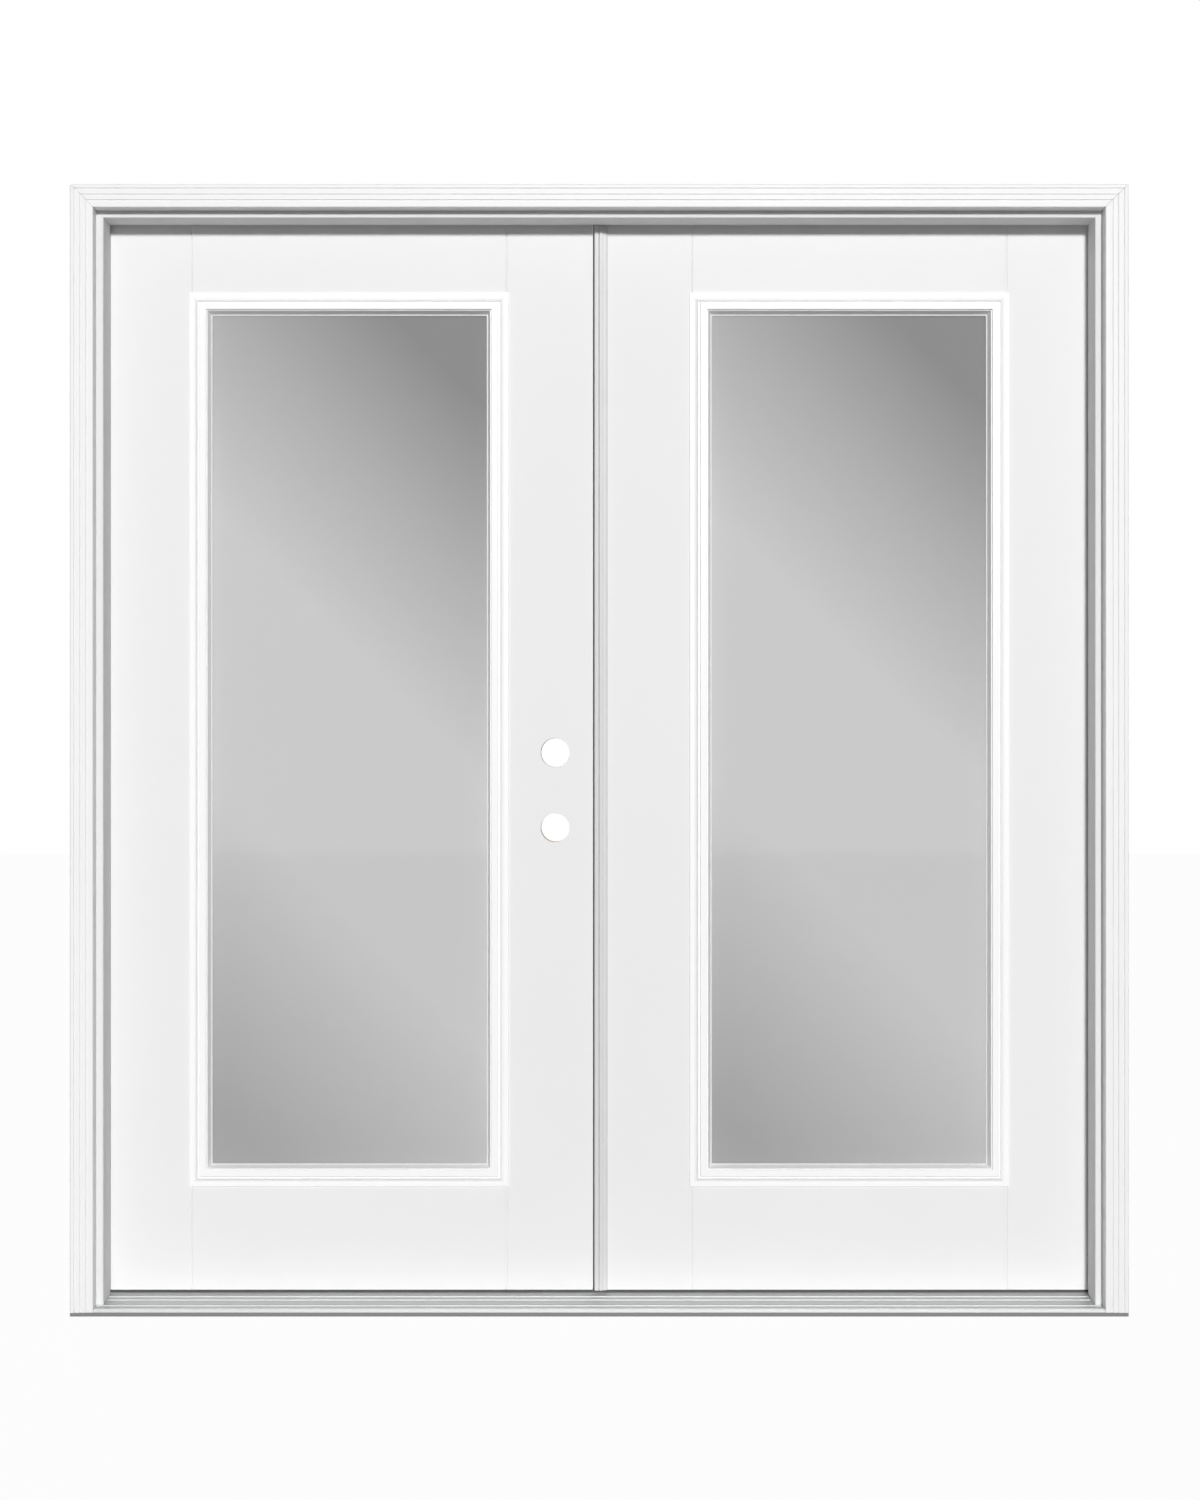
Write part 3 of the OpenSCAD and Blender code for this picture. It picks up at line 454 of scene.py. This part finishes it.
class FRENCHDOOR_OT_glazing(bpy.types.Operator):
    """Finishes the panes and spacers and lays the glazing tape round the sight openings"""

    bl_idname = "frenchdoor.glazing"
    bl_label = "Glazing"

    def execute(self, context):
        clear = material_once("clear_float_glass", clear_glass)
        bar = material_once("roll_formed_aluminium", drawn_metal, linear("#b4b5b6"), 0.4, "Z", 0.001)
        for leaf in LEAVES:
            low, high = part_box("pane_exterior_" + leaf)
            middle = (Vector(low) + Vector(high)) / 2
            # Each outer pane's glass centres its painted reflection on that pane
            pane_glass_with_painted_reflection = material_once("coated_float_glass_" + leaf, grey_glass_with_painted_reflection, middle)
            give_material("pane_exterior_" + leaf, pane_glass_with_painted_reflection)
            give_material("pane_interior_" + leaf, clear)
            give_material("spacer_" + leaf, bar)
            self.tape(leaf, "exterior", -1)
            self.tape(leaf, "interior", 1)
        return {"FINISHED"}

    def tape(self, leaf, face, outwards):
        """A flat frame of tape on the pane, its outer edge just under the lite frame."""
        tape = material_once("foam_glazing_tape", moulded, linear("#dcdddd"), 0.7, 0.0015, 0.1)
        low, high = (Vector(corner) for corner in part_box("pane_{}_{}".format(face, leaf)))
        frame_low, frame_high = (Vector(corner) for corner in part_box("lite_frame_{}_{}".format(face, leaf)))
        opening = (frame_high.x - frame_low.x - 2 * LITE_WIDTH, frame_high.z - frame_low.z - 2 * LITE_WIDTH)
        pane_y = low.y if outwards < 0 else high.y
        middle = ((low.x + high.x) / 2, pane_y, (low.z + high.z) / 2)
        bpy.ops.object.select_all(action="DESELECT")
        bpy.ops.mesh.primitive_plane_add(size=1.0, location=middle, rotation=(math.radians(90), 0, 0))
        piece = bpy.context.active_object
        piece.name = "glazing_tape_{}_{}".format(face, leaf)
        piece.scale = (opening[0] - TAPE_SLACK, opening[1] - TAPE_SLACK, 1.0)
        bpy.ops.object.transform_apply(location=True, rotation=True, scale=True)
        bpy.ops.object.mode_set(mode="EDIT")
        bpy.ops.mesh.select_all(action="SELECT")
        bpy.ops.mesh.inset(thickness=finish().tape_width, depth=0)
        bpy.ops.mesh.delete(type="FACE")
        bpy.ops.mesh.select_all(action="SELECT")
        bpy.ops.mesh.extrude_region_move(
            TRANSFORM_OT_translate={"value": (0, outwards * finish().tape_height, 0)})
        bpy.ops.mesh.select_all(action="SELECT")
        bpy.ops.mesh.normals_make_consistent(inside=False)
        bpy.ops.object.mode_set(mode="OBJECT")
        rounding = piece.modifiers.new("rounding", "BEVEL")
        rounding.width = TAPE_ROUNDING
        rounding.segments = 2
        rounding.limit_method = "ANGLE"
        bpy.ops.object.modifier_apply(modifier=rounding.name)
        bpy.ops.object.shade_smooth_by_angle(angle=SMOOTH_ANGLE)
        piece.data.materials.append(tape)
        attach(piece, BODY_OF_LEAF[leaf])


class FRENCHDOOR_OT_leaf_cores(bpy.types.Operator):
    """Finishes the wood and foam inside the leaves, which shows at their edges and in the bores"""

    bl_idname = "frenchdoor.leaf_cores"
    bl_label = "Leaf cores"

    def execute(self, context):
        wood = material_once("laminated_pine_bare", laminated_pine, finish().wood)
        foam = material_once("poured_polyurethane_foam", moulded, linear("#ddd0a0"), 0.9, 0.0015, 0.15)
        for leaf in LEAVES:
            for part in ("hinge_stile", "lock_stile", "top_rail", "bottom_rail"):
                give_material("{}_{}".format(part, leaf), wood)
            give_material("core_" + leaf, foam)
        give_material("lock_block_active", wood)
        return {"FINISHED"}


class FRENCHDOOR_OT_hardware(bpy.types.Operator):
    """Finishes the hinges, screws, strike and flush bolts"""

    bl_idname = "frenchdoor.hardware"
    bl_label = "Hardware"

    def execute(self, context):
        satin = material_once("brushed_hinge_steel", drawn_metal, finish().hinge_metal, 0.34, "Z", 0.0008)
        zinc = material_once("zinc_plated_steel", drawn_metal, linear("#c0c2c6"), 0.38, "X", 0.001)
        for node in ("frame_hinge_leaves_left", "frame_hinge_leaves_right", "hinge_leaves_active",
                     "hinge_leaves_passive", "hinge_pins_left", "hinge_pins_right"):
            give_material(node, satin)
        for node in ("frame_hinge_screws", "hinge_screws_active", "hinge_screws_passive", "cap_screws",
                     "head_strike", "flush_bolt_top", "flush_bolt_bottom"):
            give_material(node, zinc)
        return {"FINISHED"}


class FRENCHDOOR_OT_astragal(bpy.types.Operator):
    """Finishes the astragal and eases its edges"""

    bl_idname = "frenchdoor.astragal"
    bl_label = "Astragal"

    def execute(self, context):
        # The grey is partly the powder coat and partly painted shade on the strip
        white = material_once(
            "powder_coated_aluminium", painted, finish().astragal_grey_and_shade, 0.4, 0.1, 0.003, 0.0001)
        softened("astragal", finish().moulded_edge, white)
        return {"FINISHED"}


class FRENCHDOOR_OT_seals(bpy.types.Operator):
    """Finishes the weatherstrips, pads, sweeps and the astragal's bead"""

    bl_idname = "frenchdoor.seals"
    bl_label = "Seals"

    def execute(self, context):
        strip = material_once("vinyl_covered_foam", moulded, linear("#c4c4c2"), 0.55, 0.004, 0.06)
        vinyl = material_once("extruded_dark_vinyl", moulded, linear("#454546"), 0.5, 0.002, 0.1)
        for side in ("left", "right", "head"):
            give_material("weatherstrip_" + side, strip)
        for node in ("corner_pads", "sweep_active", "sweep_passive", "astragal_seal"):
            give_material(node, vinyl)
        return {"FINISHED"}


class FRENCHDOOR_OT_stage(bpy.types.Operator):
    """Lays the floor and sets the light and the camera"""

    bl_idname = "frenchdoor.stage"
    bl_label = "Stage"

    def execute(self, context):
        settings = context.scene.french_door_stage
        context.scene.view_settings.view_transform = "Standard"
        self.floor()
        self.room(settings.room_strength)
        self.sun("key_light", *KEY_SUN, settings.key_strength)
        self.sun("indoor_light", *INDOOR_SUN, settings.indoor_strength)
        self.camera(settings)
        return {"FINISHED"}

    def floor(self):
        """A pale floor that shows white and keeps some of the shadow."""
        bpy.ops.object.select_all(action="DESELECT")
        bpy.ops.mesh.primitive_plane_add(size=40.0, location=(0, 0, CAD_BOX[0][2] - 0.0005))
        floor = bpy.context.active_object
        floor.name = "studio_floor"
        bpy.ops.object.transform_apply(location=True, rotation=True, scale=True)
        material, tree = blank_material("pale_studio_floor")
        path = add_node(tree, "ShaderNodeLightPath")
        seen = add_node(tree, "ShaderNodeMath", {"operation": "MAXIMUM"}, {
            0: path.outputs["Is Camera Ray"], 1: path.outputs["Is Transmission Ray"]})
        shown = add_node(tree, "ShaderNodeMath", {"operation": "MULTIPLY"}, {
            0: seen.outputs["Value"], 1: FLOOR_WHITE_SHARE})
        matte = add_node(tree, "ShaderNodeBsdfDiffuse", inputs={"Color": linear("#b4b4b4")})
        white = add_node(tree, "ShaderNodeEmission", inputs={"Color": (1, 1, 1, 1), "Strength": 1.0})
        mix = add_node(tree, "ShaderNodeMixShader", inputs={
            0: shown.outputs["Value"], 1: matte.outputs["BSDF"], 2: white.outputs["Emission"]})
        add_node(tree, "ShaderNodeOutputMaterial", inputs={"Surface": mix.outputs["Shader"]})
        floor.data.materials.append(material)

    def room(self, strength):
        """Even light from all round, and a white backdrop for what is seen directly or in gloss and glass."""
        world = bpy.data.worlds.new("studio_room")
        bpy.context.scene.world = world
        world.use_nodes = True
        tree = world.node_tree
        tree.nodes.clear()
        path = add_node(tree, "ShaderNodeLightPath")
        near = add_node(tree, "ShaderNodeMath", {"operation": "MAXIMUM"}, {
            0: path.outputs["Is Camera Ray"], 1: path.outputs["Is Transmission Ray"]})
        direct = add_node(tree, "ShaderNodeMath", {"operation": "MAXIMUM"}, {
            0: near.outputs["Value"], 1: path.outputs["Is Glossy Ray"]})
        level = add_node(tree, "ShaderNodeMapRange", inputs={
            "Value": direct.outputs["Value"], "To Min": strength, "To Max": 1.0})
        light = add_node(tree, "ShaderNodeBackground", inputs={
            "Color": (1, 1, 1, 1), "Strength": level.outputs["Result"]})
        add_node(tree, "ShaderNodeOutputWorld", inputs={"Surface": light.outputs["Background"]})

    def sun(self, name, place, towards, spread, strength):
        """Light from one side; the spread in degrees softens its shadows."""
        bpy.ops.object.light_add(type="SUN", location=place)
        lamp = bpy.context.active_object
        lamp.name = name
        lamp.data.energy = strength
        lamp.data.angle = math.radians(spread)
        lamp.rotation_euler = Vector(towards).to_track_quat("-Z", "Y").to_euler()

    def camera(self, settings):
        bpy.ops.object.camera_add(
            location=(0.0014, CAD_BOX[0][1] - settings.camera_distance, settings.camera_height),
            rotation=(math.radians(90), 0, 0))
        camera = bpy.context.active_object
        camera.name = "photo_camera"
        camera.data.lens = settings.lens
        camera.data.sensor_width = 36.0
        camera.data.dof.use_dof = False
        bpy.context.scene.camera = camera


PIECES = (
    FRENCHDOOR_OT_casing_and_jambs, FRENCHDOOR_OT_sill, FRENCHDOOR_OT_leaf_skins, FRENCHDOOR_OT_lite_frames,
    FRENCHDOOR_OT_glazing, FRENCHDOOR_OT_leaf_cores, FRENCHDOOR_OT_hardware, FRENCHDOOR_OT_astragal,
    FRENCHDOOR_OT_seals, FRENCHDOOR_OT_stage,
)


class FRENCHDOOR_PT_sidebar(bpy.types.Panel):
    """The doors' finishes and pieces"""

    bl_idname = "FRENCHDOOR_PT_sidebar"
    bl_label = "French Doors"
    bl_space_type = "VIEW_3D"
    bl_region_type = "UI"
    bl_category = "French Doors"

    def draw(self, context):
        layout = self.layout
        for group in (context.scene.french_door_finish, context.scene.french_door_stage):
            for name in group.__annotations__:
                layout.prop(group, name)
        for piece in PIECES:
            layout.operator(piece.bl_idname)


CLASSES = (FrenchDoorFinish, FrenchDoorStage) + PIECES + (FRENCHDOOR_PT_sidebar,)


def register():
    for each in CLASSES:
        bpy.utils.register_class(each)
    bpy.types.Scene.french_door_finish = bpy.props.PointerProperty(type=FrenchDoorFinish)
    bpy.types.Scene.french_door_stage = bpy.props.PointerProperty(type=FrenchDoorStage)


def unregister():
    del bpy.types.Scene.french_door_stage
    del bpy.types.Scene.french_door_finish
    for each in reversed(CLASSES):
        bpy.utils.unregister_class(each)


def main():
    register()
    bpy.ops.frenchdoor.casing_and_jambs()
    bpy.ops.frenchdoor.sill()
    bpy.ops.frenchdoor.leaf_skins()
    bpy.ops.frenchdoor.lite_frames()
    bpy.ops.frenchdoor.glazing()
    bpy.ops.frenchdoor.leaf_cores()
    bpy.ops.frenchdoor.hardware()
    bpy.ops.frenchdoor.astragal()
    bpy.ops.frenchdoor.seals()
    bpy.ops.frenchdoor.stage()


if __name__ == "__main__":
    main()
